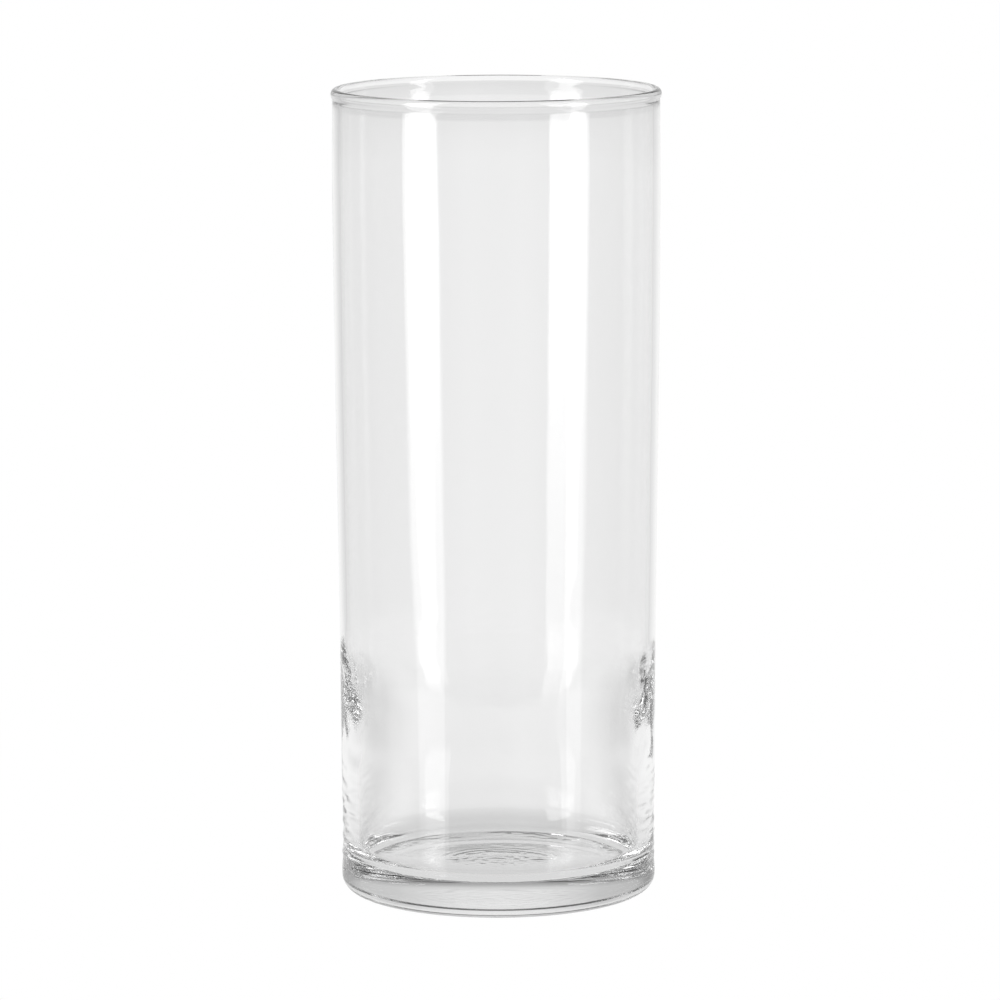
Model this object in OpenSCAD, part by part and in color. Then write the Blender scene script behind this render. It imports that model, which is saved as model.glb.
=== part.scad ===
// Tall clear-glass cylinder vase for cut flowers: one piece of machine-made soda-lime glass.
// The origin is the centre of the ring that it stands on, and +Z is up along its axis.

/* [Body] */
// Height from the bearing ring to the top of the rim
vase_height = 254; // [220:1:320]
// Outer diameter of the straight stretch above the heel
foot_diameter = 99.3; // [94:0.1:101]
// Height at which the straight stretch ends and the draft of the mould begins
draft_from = 45; // [20:1:70]
// Outer diameter where the draft ends, a little below the rim
shoulder_diameter = 102.6; // [101:0.1:103]
// Radius of the rounded heel between the side and the bearing ring
heel_radius = 4.8; // [2.5:0.1:6]

/* [Rim] */
// Outer diameter of the fire-polished bead
rim_diameter = 103.2; // [102.8:0.1:104]
// Height of the bead, which is round in section
bead_height = 3.6; // [3.2:0.1:4.2]
// Outer diameter of the slight neck under the bead
neck_diameter = 102.2; // [101.8:0.1:102.6]

/* [Wall] */
// Wall thickness near the mouth
mouth_wall = 2.4; // [2:0.1:2.8]
// Wall thickness near the foot, where more glass settles
foot_wall = 5.4; // [3.4:0.1:6]
// Height above which the wall is at its thinnest
thin_above = 80; // [75:1:200]
// Height below which the wall is at its thickest
thick_below = 48; // [30:1:70]

/* [Base] */
// Height of the inner floor above the bearing ring
floor_height = 10.1; // [8:0.1:16]
// Radius of the inner corner between floor and wall
corner_radius = 7; // [2:0.1:12]
// Width of the flat bearing ring
bearing_width = 9; // [2:0.1:12]
// Depth of the hollow under the base, at its centre
push_up = 0.35; // [0.2:0.05:4]

/* [Hidden] */
$fn = 128;

foot_radius = foot_diameter / 2;
bead_radius = bead_height / 2;
bead_centre = vase_height - bead_radius;
neck_drop = 28; // from the end of the draft to the middle of the bead
shoulder_height = bead_centre - neck_drop;
heel_edge = foot_radius - heel_radius;
hollow_radius = heel_edge - bearing_width;
// Radius of the sphere that a hollow of this width and depth is cut from
dome_radius = (pow(hollow_radius, 2) + pow(push_up, 2)) / (2 * push_up);
corner_height = floor_height + corner_radius;
foot_inner = foot_radius - foot_wall;
corner_edge = foot_inner - corner_radius;

// Height and radius where the outer side changes slope
outer_slopes = [
    [heel_radius, foot_radius],
    [draft_from, foot_radius],
    [shoulder_height, shoulder_diameter / 2],
    [bead_centre, neck_diameter / 2]
];
// Height and wall thickness where the thickness starts or stops changing
wall_slopes = [[thick_below, foot_wall], [thin_above, mouth_wall]];

function outer_radius(z) = lookup(z, outer_slopes);
function inner_radius(z) = outer_radius(z) - lookup(z, wall_slopes);

// Half section of the outside, from the axis out to the side
module outer_section() {
    side = [for (slope = outer_slopes) [slope[1], slope[0]]];
    polygon(concat([[0, heel_radius]], side, [[0, bead_centre]]));
    square([heel_edge, heel_radius + 1]);
    translate([heel_edge, heel_radius]) circle(heel_radius);
}

// Half section of the space for water and stems, open past the rim
module inner_section() {
    heights = [corner_height, thick_below, thin_above, shoulder_height];
    side = [for (z = heights) [inner_radius(z), z]];
    mouth = inner_radius(shoulder_height);
    polygon(concat([[0, corner_height]], side, [[mouth, bead_centre], [0, bead_centre]]));
    translate([0, floor_height]) square([corner_edge, corner_radius + 1]);
    translate([corner_edge, corner_height]) circle(corner_radius);
}

// Half section of the shallow hollow under the base
module hollow_section() {
    intersection() {
        translate([0, push_up - dome_radius]) circle(dome_radius, $fn = 1440);
        square([hollow_radius + 1, push_up + 1]);
    }
}

// Section of the fire-polished bead, which stands proud of both sides of the wall
module bead_section() {
    translate([rim_diameter / 2 - bead_radius, bead_centre]) circle(bead_radius);
}

module glass_vase() {
    color([0.9, 0.93, 0.93, 0.35])
        rotate_extrude() {
            difference() {
                outer_section();
                inner_section();
                hollow_section();
            }
            bead_section();
        }
}

glass_vase();
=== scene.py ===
import math

import bmesh
import bpy
from mathutils import Matrix, Vector, noise


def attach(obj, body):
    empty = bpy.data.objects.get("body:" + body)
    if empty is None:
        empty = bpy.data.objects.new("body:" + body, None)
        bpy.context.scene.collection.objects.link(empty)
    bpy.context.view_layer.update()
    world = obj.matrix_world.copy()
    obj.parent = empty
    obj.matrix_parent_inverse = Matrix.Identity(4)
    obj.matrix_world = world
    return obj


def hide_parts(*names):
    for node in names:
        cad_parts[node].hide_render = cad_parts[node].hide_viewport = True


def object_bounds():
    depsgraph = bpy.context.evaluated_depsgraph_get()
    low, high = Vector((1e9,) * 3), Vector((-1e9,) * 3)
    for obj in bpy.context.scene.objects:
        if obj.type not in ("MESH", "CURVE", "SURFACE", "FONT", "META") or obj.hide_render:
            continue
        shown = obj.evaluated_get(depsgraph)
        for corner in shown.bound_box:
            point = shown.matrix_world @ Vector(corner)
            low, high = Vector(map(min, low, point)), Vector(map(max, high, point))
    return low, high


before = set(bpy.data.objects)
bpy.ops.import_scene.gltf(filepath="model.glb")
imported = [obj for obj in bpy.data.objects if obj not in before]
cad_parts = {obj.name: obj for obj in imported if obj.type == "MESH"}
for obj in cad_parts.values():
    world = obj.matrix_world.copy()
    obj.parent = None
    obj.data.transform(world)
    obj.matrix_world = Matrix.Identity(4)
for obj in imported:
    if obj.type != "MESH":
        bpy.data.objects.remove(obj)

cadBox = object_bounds()
print("frame loaded")

mm = 0.001

# the glass: height and width come from the frame, the other sizes are in millimetres
vase = {
    "segments": 216,
    "beadHeight": 3.6,
    "beadInside": 0.08,     # how far the bead stands in from the wall
    "beadBlend": 0.8,       # length over which it runs into the wall
    "collarWall": 0.3,      # extra wall that swells into the bead
    "collarHeight": 4.0,
    "neckDrop": 0.5,        # how far the neck lies inside the bead's outer edge
    "shoulderDrop": 0.3,    # the same for the widest part of the body
    "footDrop": 1.95,       # and for the straight stretch above the heel
    "neckBelow": 1.0,       # the neck is narrowest this far below the middle of the bead
    "draftFrom": 45.0,
    "draftEase": 0.06,      # how softly the draft starts and ends
    "shoulderBelowRim": 29.8,
    "heelRadius": 4.8,
    "mouthWall": 2.4,
    "footWall": 5.4,
    "thinAbove": 80.0,      # the wall grows from one thickness to the other between these heights
    "thickBelow": 48.0,
    "floorHeight": 10.1,
    "cornerRadius": 7.0,
    "bearingWidth": 9.0,
    "recessHeight": 0.35,   # the hollow inside the bearing ring, and how far its slope reaches in
    "recessSlope": 34.0,
    "skin": 1.0,            # what lies this close to the outer radius belongs to the outside
}

# how finely each stroke of the outline is cut
cuts = {
    "under": 48,
    "bearing": 12,
    "heel": 12,
    "lowerSide": 80,
    "upperSide": 34,
    "neck": 12,
    "bead": 30,
    "collar": 6,
    "upperWall": 34,
    "lowerWall": 84,
    "corner": 16,
    "floor": 30,
    "lowerSideTo": 56.0,    # the ripples outside end below this height
    "lowerWallTo": 96.0,    # and the waves inside below this one
    "neckLength": 8.0,      # the finer stretches just outside and inside the mouth
    "collarLength": 4.0,
    "merge": 0.002,
}

# what the moulding and cooling leave on the surfaces, in millimetres
marks = {
    "aboveFloor": 0.5,      # the marks inside start this far above the floor
    "belowFloor": 2.0,      # and those underneath end this far below it
    "seamFrom": 0.87,       # the waves gather towards the mould seams at the two sides
    "seamTo": 0.97,
    "awayFromSeam": 0.12,   # how much of them is left away from the seams
    "waveDepth": 0.35,      # slow waves inside the lower wall
    "waveSize": 8.0,
    "waveStretch": 0.8,
    "waveFrom": 34.0,
    "waveFull": 52.0,
    "waveFade": 62.0,
    "waveTo": 92.0,
    "chillDepth": 0.4,      # level chill ripples on the outside above the foot
    "chillEven": 0.7,       # the part of their depth that doesn't vary
    "chillTall": 1.5,       # their size up the wall
    "chillLong": 11.0,      # and round it
    "chillSeamFrom": 0.9,
    "chillFrom": 6.0,
    "chillFull": 12.0,
    "chillFade": 24.0,
    "chillTo": 44.0,
    "stippleDepth": 0.12,   # rough ring that the vase stands on
    "stippleSize": 2.4,
    "stippleRise": (-1.5, 0.5),     # where it starts, from the hollow's edge
    "stippleFall": (-0.6, 1.0),     # where it ends, from the edge of the heel
    "patchSize": 15.0,      # it comes and goes in patches
    "patchRise": (-0.1, 0.3),
    "toolDepth": 0.018,     # turned rings under the middle of the base
    "toolPitch": 3.1,
    "toolRadius": 22.0,
    "toolFade": 3.0,
    "toolSway": 3.0,        # how far they wander off round
    "toolSwaySize": 16.0,
    "grainDepth": 0.045,    # uneven patch inside those rings
    "grainSize": 2.2,
    "grainFrom": 0.6,       # it fades between these parts of the rings' radius
    "grainTo": 0.95,
}


def smooth(t):
    t = min(max(t, 0.0), 1.0)
    return t * t * (3 - 2 * t)


def between(x, low, high):
    return smooth((x - low) / (high - low))


# slow waves inside the wall, as a push outwards
def waveInside(place, r, z):
    m = marks
    shade = between(z, m["waveFrom"], m["waveFull"]) * (1 - between(z, m["waveFade"], m["waveTo"]))
    towardSeam = between(abs(place.x) / r, m["seamFrom"], m["seamTo"])
    gathered = m["awayFromSeam"] + (1 - m["awayFromSeam"]) * towardSeam
    spot = Vector((place.x, place.y, place.z * m["waveStretch"])) / m["waveSize"]
    return m["waveDepth"] * shade * gathered * noise.noise(spot)


# chill ripples outside the wall, as a push outwards
def chillOutside(place, r, z):
    m = marks
    shade = between(z, m["chillFrom"], m["chillFull"])
    shade *= 1 - between(z, m["chillFade"], m["chillTo"])
    shade *= between(abs(place.x) / r, m["chillSeamFrom"], 1.0)
    spot = Vector((place.x / m["chillLong"], place.y / m["chillLong"], z / m["chillTall"]))
    return -m["chillDepth"] * shade * (m["chillEven"] + noise.noise(spot))


# stipple on the bearing ring, and turned rings with a grainy middle inside it, as a lift
def reliefUnder(place, r, hollow, heelEdge):
    m = marks
    lift = 0.0
    rise = [hollow + d for d in m["stippleRise"]]
    fall = [heelEdge + d for d in m["stippleFall"]]
    onRing = between(r, *rise) * (1 - between(r, *fall))
    if onRing > 0:
        patch = between(noise.noise(place / m["patchSize"]), *m["patchRise"])
        lift = m["stippleDepth"] * onRing * patch * (1 + noise.noise(place / m["stippleSize"]))
    reach = m["toolRadius"]
    inRings = 1 - between(r, reach - m["toolFade"], reach)
    if inRings > 0:
        sway = m["toolSway"] * noise.noise(place / m["toolSwaySize"])
        lift += m["toolDepth"] * inRings * math.sin(2 * math.pi * r / m["toolPitch"] + sway)
        inPatch = 1 - between(r, m["grainFrom"] * reach, m["grainTo"] * reach)
        lift += m["grainDepth"] * inPatch * noise.noise(place / m["grainSize"])
    return lift


# draws an outline in the XZ plane of a bmesh, one stroke after another
class Pen:
    def __init__(self, bm, r, z):
        self.bm = bm
        self.tip = bmesh.ops.create_vert(bm, co=(r * mm, 0, z * mm))["vert"][0]

    def lineTo(self, r, z):
        made = bmesh.ops.extrude_vert_indiv(self.bm, verts=[self.tip])
        self.tip = made["verts"][0]
        self.tip.co = (r * mm, 0, z * mm)

    def arc(self, r, z, degrees, steps):
        made = bmesh.ops.spin(
            self.bm, geom=[self.tip], cent=(r * mm, 0, z * mm), axis=(0, -1, 0),
            angle=math.radians(degrees), steps=steps, use_duplicate=False,
        )
        self.tip = made["geom_last"][0]

    def curve(self, radius, start, end, steps):
        for i in range(1, steps + 1):
            z = start + (end - start) * i / steps
            self.lineTo(radius(z), z)


def makeVase():
    v = vase
    c = cuts
    low, high = cadBox
    height = (high.z - low.z) / mm
    rim = (high.x - low.x) / 2 / mm
    beadTall = v["beadHeight"] / 2
    beadCentre = height - beadTall
    foot = rim - v["footDrop"]
    neck = rim - v["neckDrop"]
    shoulder = rim - v["shoulderDrop"]
    shoulderHeight = height - v["shoulderBelowRim"]
    heel = v["heelRadius"]
    heelEdge = foot - heel
    hollow = heelEdge - v["bearingWidth"]

    def outer(z):
        t = min(max((z - v["draftFrom"]) / (shoulderHeight - v["draftFrom"]), 0.0), 1.0)
        eased = t - v["draftEase"] * math.sin(2 * math.pi * t)
        r = foot + (shoulder - foot) * eased
        return r + (neck - shoulder) * between(z, shoulderHeight, beadCentre - v["neckBelow"])

    def inner(z):
        t = between(z, v["thickBelow"], v["thinAbove"])
        collar = v["collarWall"] * between(z, beadCentre - v["collarHeight"], beadCentre)
        return outer(z) - v["footWall"] + (v["footWall"] - v["mouthWall"]) * t - collar

    def underside(r):
        return v["recessHeight"] * (1 - between(r, hollow - v["recessSlope"], hollow))

    # the outline starts under the middle of the base and ends on the floor, back at the axis
    bm = bmesh.new()
    pen = Pen(bm, 0, underside(0))
    for i in range(1, c["under"]):
        r = hollow * i / c["under"]
        pen.lineTo(r, underside(r))
    for i in range(c["bearing"] + 1):
        pen.lineTo(hollow + v["bearingWidth"] * i / c["bearing"], 0)
    pen.arc(heelEdge, heel, 90, c["heel"])
    pen.curve(outer, heel, c["lowerSideTo"], c["lowerSide"])
    pen.curve(outer, c["lowerSideTo"], beadCentre - c["neckLength"], c["upperSide"])

    # the bead is an oval that the outline climbs on the outside and comes down on the inside
    neckIn = inner(beadCentre)
    beadWide = (rim - neckIn + v["beadInside"]) / 2
    beadMiddle = rim - beadWide
    outTurn = math.acos(1 - v["neckDrop"] / beadWide)
    inTurn = math.acos(1 - v["beadInside"] / beadWide)
    outMeet = beadCentre - beadTall * math.sin(outTurn)
    inMeet = beadCentre - beadTall * math.sin(inTurn)
    pen.curve(outer, beadCentre - c["neckLength"], outMeet - v["beadBlend"], c["neck"])
    start = -outTurn + v["beadBlend"] / beadTall / 2
    stop = math.pi + inTurn - v["beadBlend"] / beadTall / 2
    for i in range(c["bead"] + 1):
        turn = start + (stop - start) * i / c["bead"]
        pen.lineTo(beadMiddle + beadWide * math.cos(turn), beadCentre + beadTall * math.sin(turn))

    # down the inside of the wall, round the corner and over the floor
    innerTop = inMeet - v["beadBlend"]
    collarFoot = innerTop - c["collarLength"]
    cornerTop = v["floorHeight"] + v["cornerRadius"]
    cornerEdge = inner(cornerTop) - v["cornerRadius"]
    pen.lineTo(inner(innerTop), innerTop)
    pen.curve(inner, innerTop, collarFoot, c["collar"])
    pen.curve(inner, collarFoot, c["lowerWallTo"], c["upperWall"])
    pen.curve(inner, c["lowerWallTo"], cornerTop, c["lowerWall"])
    pen.arc(cornerEdge, cornerTop, -90, c["corner"])
    for i in range(1, c["floor"] + 1):
        pen.lineTo(cornerEdge * (1 - i / c["floor"]), v["floorHeight"])
    bmesh.ops.spin(
        bm, geom=bm.verts[:] + bm.edges[:], cent=(0, 0, 0), axis=(0, 0, 1),
        angle=2 * math.pi, steps=v["segments"], use_merge=True, use_duplicate=False,
    )
    bmesh.ops.remove_doubles(bm, verts=bm.verts[:], dist=c["merge"] * mm)

    # the marks
    for vert in bm.verts:
        r = math.hypot(vert.co.x, vert.co.y) / mm
        z = vert.co.z / mm
        place = vert.co / mm
        push = 0.0
        lift = 0.0
        if z > v["floorHeight"] + marks["aboveFloor"] and r < outer(z) - v["skin"]:
            push = waveInside(place, r, z)
        elif heel <= z < marks["chillTo"] and r > outer(z) - v["skin"]:
            push = chillOutside(place, r, z)
        elif z < v["floorHeight"] - marks["belowFloor"] and r < heelEdge + v["skin"]:
            lift = reliefUnder(place, r, hollow, heelEdge)
        if r > v["skin"]:
            vert.co.x += push * place.x / r * mm
            vert.co.y += push * place.y / r * mm
        vert.co.z += lift * mm

    bmesh.ops.recalc_face_normals(bm, faces=bm.faces[:])
    mesh = bpy.data.meshes.new("glassVase")
    bm.to_mesh(mesh)
    bm.free()
    for face in mesh.polygons:
        face.use_smooth = True
    made = bpy.data.objects.new("glassVase", mesh)
    bpy.context.scene.collection.objects.link(made)
    return made


glassVase = makeVase()
print("vase turned:", len(glassVase.data.polygons), "faces")


# a value from a shader node: sums on it add Math nodes
class Sock:
    def __init__(self, tree, socket):
        self.tree = tree
        self.socket = socket

    def math(self, operation, *values):
        node = self.tree.nodes.new("ShaderNodeMath")
        node.operation = operation
        for slot, value in zip(node.inputs, values):
            if isinstance(value, Sock):
                self.tree.links.new(value.socket, slot)
            else:
                slot.default_value = value
        return Sock(self.tree, node.outputs[0])

    def __add__(self, other):
        return self.math("ADD", self, other)

    def __radd__(self, other):
        return self.math("ADD", other, self)

    def __sub__(self, other):
        return self.math("SUBTRACT", self, other)

    def __rsub__(self, other):
        return self.math("SUBTRACT", other, self)

    def __mul__(self, other):
        return self.math("MULTIPLY", self, other)

    def __rmul__(self, other):
        return self.math("MULTIPLY", other, self)

    def ramp(self, low, high, fromLevel=0.0, toLevel=1.0):
        node = self.tree.nodes.new("ShaderNodeMapRange")
        node.interpolation_type = "SMOOTHSTEP"
        self.tree.links.new(self.socket, node.inputs[0])
        for slot, value in zip(node.inputs[1:5], (low, high, fromLevel, toLevel)):
            slot.default_value = value
        return Sock(self.tree, node.outputs[0])


class Shader:
    def __init__(self, tree):
        self.tree = tree
        tree.nodes.clear()

    def node(self, kind, settings=None, out=0, **sockets):
        made = self.tree.nodes.new(kind)
        for name, value in (settings or {}).items():
            if name == "stops":
                for n, (place, level) in enumerate(value):
                    stops = made.color_ramp.elements
                    stop = stops[n] if n < 2 else stops.new(place)
                    stop.position = place
                    stop.color = (level, level, level, 1)
            else:
                setattr(made, name, value)
        for name, value in sockets.items():
            wanted = name.replace("_", " ")
            slot = made.inputs[int(wanted[4:])] if wanted.startswith("slot") else made.inputs[wanted]
            if isinstance(value, Sock):
                self.tree.links.new(value.socket, slot)
            else:
                slot.default_value = value
        return Sock(self.tree, made.outputs[out]) if made.outputs else None


clearGlass = {
    "clear": (0.994, 0.994, 0.994),
    "thick": (0.975, 0.977, 0.977),     # the base looks a little greyer than the thin wall
    "thickFull": 0.004,     # height up to which that is full, and where it ends
    "thickTop": 0.016,
    "ior": 1.52,
    "haze": 0.004,
    "cloudsPerMetre": 45.0,     # patches of haze
    "cloudFrom": 0.45,
    "cloudTo": 0.75,
    "streak": 0.02,
    "streaksPerMetre": 260.0,
    "streakLong": 0.06,     # how much the streaks are drawn out up the wall
    "streakHeight": 0.0005,
}


def makeGlass():
    g = clearGlass
    material = bpy.data.materials.new("clearGlass")
    material.use_nodes = True
    shade = Shader(material.node_tree)
    place = shade.node("ShaderNodeTexCoord", out="Object")
    height = shade.node("ShaderNodeSeparateXYZ", Vector=place, out="Z")
    atFoot = height.ramp(g["thickFull"], g["thickTop"], 1.0, 0.0)
    tint = shade.node(
        "ShaderNodeMix", {"data_type": "RGBA"}, out=2,
        slot0=atFoot, slot6=(*g["clear"], 1), slot7=(*g["thick"], 1),
    )
    # drawn-out streaks that run up the wall, and a faint haze
    drawn = shade.node("ShaderNodeMapping", Vector=place, Scale=(1, 1, g["streakLong"]))
    streaks = shade.node("ShaderNodeTexNoise", Vector=drawn, Scale=g["streaksPerMetre"], Detail=2.0)
    cloud = shade.node("ShaderNodeTexNoise", Vector=place, Scale=g["cloudsPerMetre"], Detail=4.0)
    relief = shade.node("ShaderNodeBump", Height=streaks, Strength=g["streak"], Distance=g["streakHeight"])
    body = shade.node(
        "ShaderNodeBsdfPrincipled",
        Base_Color=tint,
        IOR=g["ior"],
        Roughness=cloud.ramp(g["cloudFrom"], g["cloudTo"], 0.0, g["haze"]),
        Normal=relief,
        Transmission_Weight=1.0,
    )
    shade.node("ShaderNodeOutputMaterial", Surface=body)
    return material


glassVase.data.materials.append(makeGlass())
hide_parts("glass_vase")
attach(glassVase, "root")
print("glass made")

# the studio: a pale glowing table, a surround, and two tall strip lights that the glass mirrors
studio = {
    "tableSolid": 0.17,     # the table glows evenly out to here
    "tableEdge": 0.42,      # and has faded into the surround here
    "shadeFrom": -0.13,     # mirrored light finds no table in front of this line
    "shadeTo": -0.07,
    "footprint": 0.085,     # except under the vase itself
    "footprintTo": 0.1105,
    "tableSides": 128,
    "tableDrop": 0.0003,    # a hair below the base, so that the glass stands clear of it
    "litUnder": 0.74,       # the table's glow under the vase, behind it and far behind it; the lower glow under the vase is painted shade
    "litBehind": 0.93,
    "litFar": 0.98,
    "mirroredRise": (0.02, 0.15),   # how far back the glow rises in mirrored light
    "straightRise": (0.05, 0.15),   # how far out it rises in straight light
    "farRise": (0.15, 0.32),
    "besideFrom": 0.04,     # painted shade: the table is dimmer on both sides of the strip behind the vase
    "besideTo": 0.08,
    "paintedShadeBeside": 0.28,
    "besideReach": (0.14, 0.34),
    # bearing from the camera's side, in degrees, and how bright the surround mirrors there
    "mirrored": [
        (-180, 1.0), (-168, 0.95), (-150, 0.7), (-128, 0.62), (-112, 0.25), (-80, 0.1), (-30, 0.02),
        (0, 0.1), (20, 0.3), (36, 0.15), (80, 0.1), (108, 0.3), (128, 0.7), (150, 0.75), (168, 0.95),
        (180, 1.0),
    ],
    # the same for light that comes straight through
    "through": [
        (-180, 1.0), (-168, 0.95), (-150, 0.72), (-130, 0.85), (130, 0.85), (150, 0.75), (168, 0.95),
        (180, 1.0),
    ],
    # sine of the elevation, and how much of that light is left there
    "upward": [
        (-1, 1.0), (-0.0915, 1.0), (-0.08, 0.86), (0, 0.84), (0.22, 0.82), (0.45, 0.5), (0.75, 0.3),
        (1, 0.2),
    ],
    "stripDistance": 1.2,
    # bearings of a strip's edges, degrees that it leans per metre, and its brightness low down and high up
    "left": {
        "from": -38.5, "to": -67.5, "lean": 12.0, "bend": -5.0, "low": -0.6, "fade": 0.2, "high": 1.6,
        "level": 1.5, "top": 3.2,
    },
    "right": {
        "from": 50.0, "to": 67.0, "lean": -8.0, "bend": 2.5, "low": -1.2, "fade": 0.02, "high": 1.6,
        "level": 1.5, "top": 3.3,
    },
    "stripDim": -0.12,      # the strips grow brighter from this height
    "stripFull": 0.12,
    "bendFrom": -0.17,      # and curve outwards, by their bend in degrees, up to the next one
    "bendTo": -0.08,
    "stripEdge": 3.0,       # degrees over which a strip fades in
}


def stand(name, bm, material):
    mesh = bpy.data.meshes.new(name)
    bm.to_mesh(mesh)
    bm.free()
    mesh.materials.append(material)
    made = bpy.data.objects.new(name, mesh)
    bpy.context.scene.collection.objects.link(made)
    return made


# a glow of this level, as solid as the value that coverage makes from the place
def fadingGlow(name, level, coverage):
    material = bpy.data.materials.new(name)
    material.use_nodes = True
    shade = Shader(material.node_tree)
    place = shade.node("ShaderNodeTexCoord", out="Object")
    strength = level(shade, place) if callable(level) else level
    glow = shade.node("ShaderNodeEmission", Color=(1, 1, 1, 1), Strength=strength)
    clear = shade.node("ShaderNodeBsdfTransparent")
    both = shade.node("ShaderNodeMixShader", slot0=coverage(shade, place), slot1=clear, slot2=glow)
    shade.node("ShaderNodeOutputMaterial", Surface=both)
    return material


# 1 once light has been mirrored on its way, 0 if it came straight through the glass
def isMirrored(shade):
    depth = shade.node("ShaderNodeLightPath", out="Glossy Depth")
    return depth.math("GREATER_THAN", depth, 0.5)


def makeTable():
    s = studio

    def disc(shade, place):
        reach = shade.node("ShaderNodeVectorMath", {"operation": "LENGTH"}, out="Value", Vector=place)
        return reach.ramp(s["tableSolid"], s["tableEdge"], 1.0, 0.0)

    def litCoverage(shade, place):
        depth = shade.node("ShaderNodeSeparateXYZ", Vector=place, out="Y")
        reach = shade.node("ShaderNodeVectorMath", {"operation": "LENGTH"}, out="Value", Vector=place)
        beyond = reach.ramp(s["footprint"], s["footprintTo"])
        gone = isMirrored(shade) * beyond * depth.ramp(s["shadeFrom"], s["shadeTo"], 1.0, 0.0)
        return disc(shade, place) * (1 - gone)

    # painted shade: the table glows dimmer under and near the vase, and brighter further out
    def litLevel(shade, place):
        depth = shade.node("ShaderNodeSeparateXYZ", Vector=place, out="Y")
        mirrored = depth.ramp(*s["mirroredRise"], s["litUnder"], s["litBehind"])
        reach = shade.node("ShaderNodeVectorMath", {"operation": "LENGTH"}, out="Value", Vector=place)
        straight = reach.ramp(*s["straightRise"], s["litUnder"], s["litBehind"])
        straight = straight + reach.ramp(*s["farRise"], 0.0, s["litFar"] - s["litBehind"])
        # painted shade on the table on both sides of the strip behind the vase
        across = shade.node("ShaderNodeSeparateXYZ", Vector=place, out="X")
        beside = across.math("ABSOLUTE", across).ramp(s["besideFrom"], s["besideTo"])
        straight = straight - beside * reach.ramp(*s["besideReach"], s["paintedShadeBeside"], 0.0)
        return straight + isMirrored(shade) * (mirrored - straight)

    tables = []
    for name, level, coverage in (("table", 1.0, disc), ("tableLit", litLevel, litCoverage)):
        bm = bmesh.new()
        bmesh.ops.create_circle(bm, cap_ends=True, segments=s["tableSides"], radius=s["tableEdge"])
        bmesh.ops.translate(bm, verts=bm.verts[:], vec=(0, 0, -s["tableDrop"]))
        tables.append(stand(name, bm, fadingGlow(name + "Glow", level, coverage)))
    seen, lit = tables
    seen.visible_transmission = False
    seen.visible_glossy = False
    seen.visible_diffuse = False
    lit.visible_camera = False


def makeStrip(name, s):
    d = studio["stripDistance"]
    bearings = [math.radians(s["from"]), math.radians(s["to"])]
    feet = [Vector((math.sin(t) * d, -math.cos(t) * d, 0)) for t in bearings]
    near = min(s["from"], s["to"])
    far = max(s["from"], s["to"])

    def coverage(shade, place):
        height = shade.node("ShaderNodeSeparateXYZ", Vector=place, out="Z")
        aside = shade.node("ShaderNodeSeparateXYZ", Vector=place, out="X")
        ahead = shade.node("ShaderNodeSeparateXYZ", Vector=place, out="Y")
        bearing = aside.math("ARCTAN2", aside, -1 * ahead) * (180 / math.pi) + height * s["lean"]
        bearing = bearing + height.ramp(studio["bendFrom"], studio["bendTo"], s["bend"], 0.0)
        edge = studio["stripEdge"]
        inside = bearing.ramp(near, near + edge) * bearing.ramp(far - edge, far, 1.0, 0.0)
        return inside * height.ramp(s["low"], s["low"] + s["fade"]) * isMirrored(shade)

    bm = bmesh.new()
    made = bmesh.ops.create_grid(bm, x_segments=1, y_segments=1, size=0.5)
    for vert in made["verts"]:
        foot = feet[0] if vert.co.x < 0 else feet[1]
        vert.co = (foot.x, foot.y, s["low"] if vert.co.y < 0 else s["high"])

    def level(shade, place):
        height = shade.node("ShaderNodeSeparateXYZ", Vector=place, out="Z")
        return height.ramp(studio["stripDim"], studio["stripFull"], s["level"], s["top"])

    strip = stand(name, bm, fadingGlow(name + "Glow", level, coverage))
    strip.visible_camera = False
    strip.visible_diffuse = False


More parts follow.
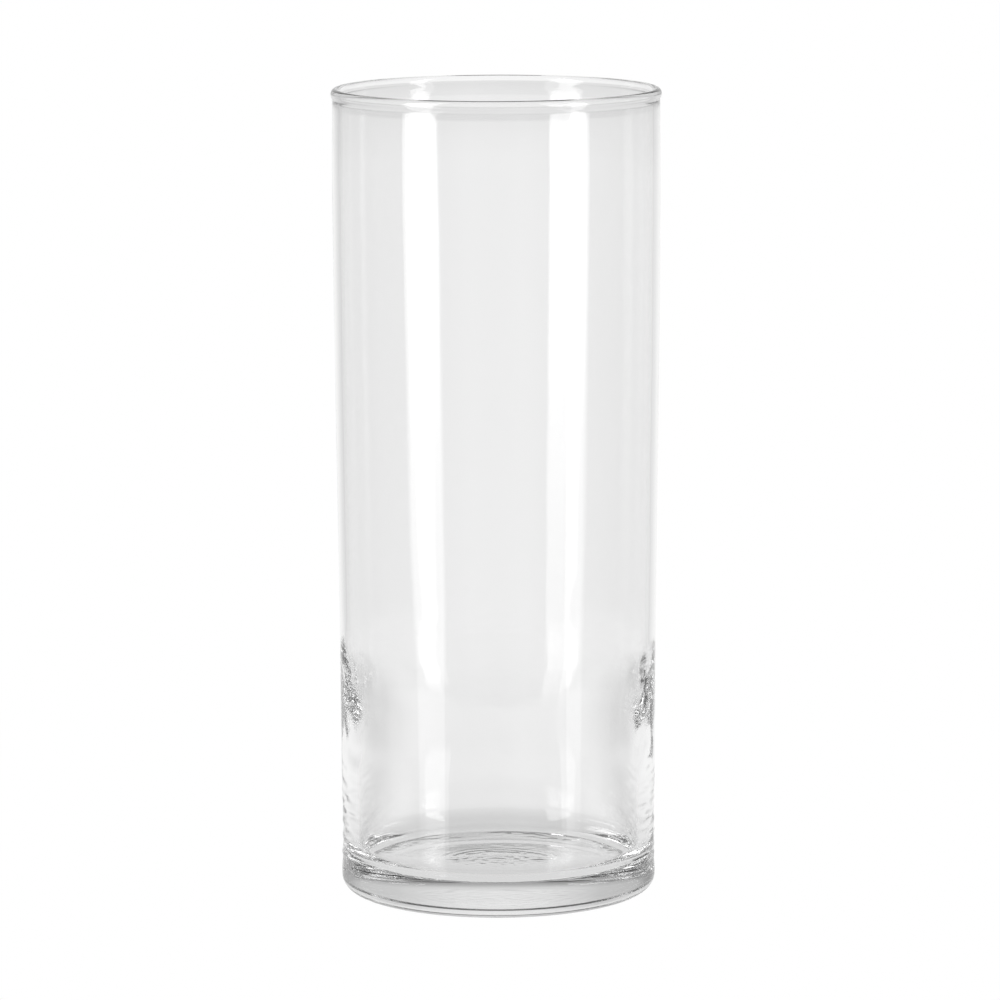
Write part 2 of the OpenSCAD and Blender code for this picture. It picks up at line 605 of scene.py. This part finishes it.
def makeWorld():
    world = bpy.data.worlds.new("studioWorld")
    world.use_nodes = True
    bpy.context.scene.world = world
    shade = Shader(world.node_tree)
    way = shade.node("ShaderNodeTexCoord", out="Generated")
    aside = shade.node("ShaderNodeSeparateXYZ", Vector=way, out="X")
    ahead = shade.node("ShaderNodeSeparateXYZ", Vector=way, out="Y")
    up = shade.node("ShaderNodeSeparateXYZ", Vector=way, out="Z")
    bearing = aside.math("ARCTAN2", aside, -1 * ahead) * (0.5 / math.pi) + 0.5

    def levelAround(name):
        stops = [(b / 360 + 0.5, level) for b, level in studio[name]]
        return shade.node("ShaderNodeValToRGB", {"stops": stops}, Fac=bearing)

    stops = [(0.5 + 0.5 * h, level) for h, level in studio["upward"]]
    dim = shade.node("ShaderNodeValToRGB", {"stops": stops}, Fac=up * 0.5 + 0.5)
    through = levelAround("through")
    level = (through + isMirrored(shade) * (levelAround("mirrored") - through)) * dim
    direct = shade.node("ShaderNodeLightPath", out="Is Camera Ray")
    level = level + direct * (1 - level)
    back = shade.node("ShaderNodeBackground", Color=(1, 1, 1, 1), Strength=level)
    shade.node("ShaderNodeOutputWorld", Surface=back)


makeTable()
makeStrip("stripLeft", studio["left"])
makeStrip("stripRight", studio["right"])
makeWorld()
print("studio made")

# a long lens, a little above the rim
view = {
    "distance": 1.7618,
    "height": 0.3995,
    "pitch": 8.885,
    "lens": 203.95,
    "aside": 0.00082,
    "roll": -0.17,
    "sensor": 36,
    "clipFrom": 0.05,
    "clipTo": 50,
    "bounces": 64,          # light trapped in the thick lower wall has to find its way out
}


def makeCamera():
    data = bpy.data.cameras.new("studioCamera")
    data.lens = view["lens"]
    data.sensor_width = view["sensor"]
    data.clip_start = view["clipFrom"]
    data.clip_end = view["clipTo"]
    camera = bpy.data.objects.new("studioCamera", data)
    bpy.context.scene.collection.objects.link(camera)
    tilt = Matrix.Rotation(math.radians(90 - view["pitch"]), 4, "X")
    roll = Matrix.Rotation(math.radians(view["roll"]), 4, "Z")
    place = Matrix.Translation((view["aside"], -view["distance"], view["height"]))
    camera.matrix_world = place @ tilt @ roll
    bpy.context.scene.camera = camera


makeCamera()
scene = bpy.context.scene
scene.view_settings.view_transform = "Standard"
scene.view_settings.look = "None"
scene.cycles.max_bounces = view["bounces"]
scene.cycles.transmission_bounces = view["bounces"]
scene.cycles.glossy_bounces = view["bounces"]
print("camera placed")
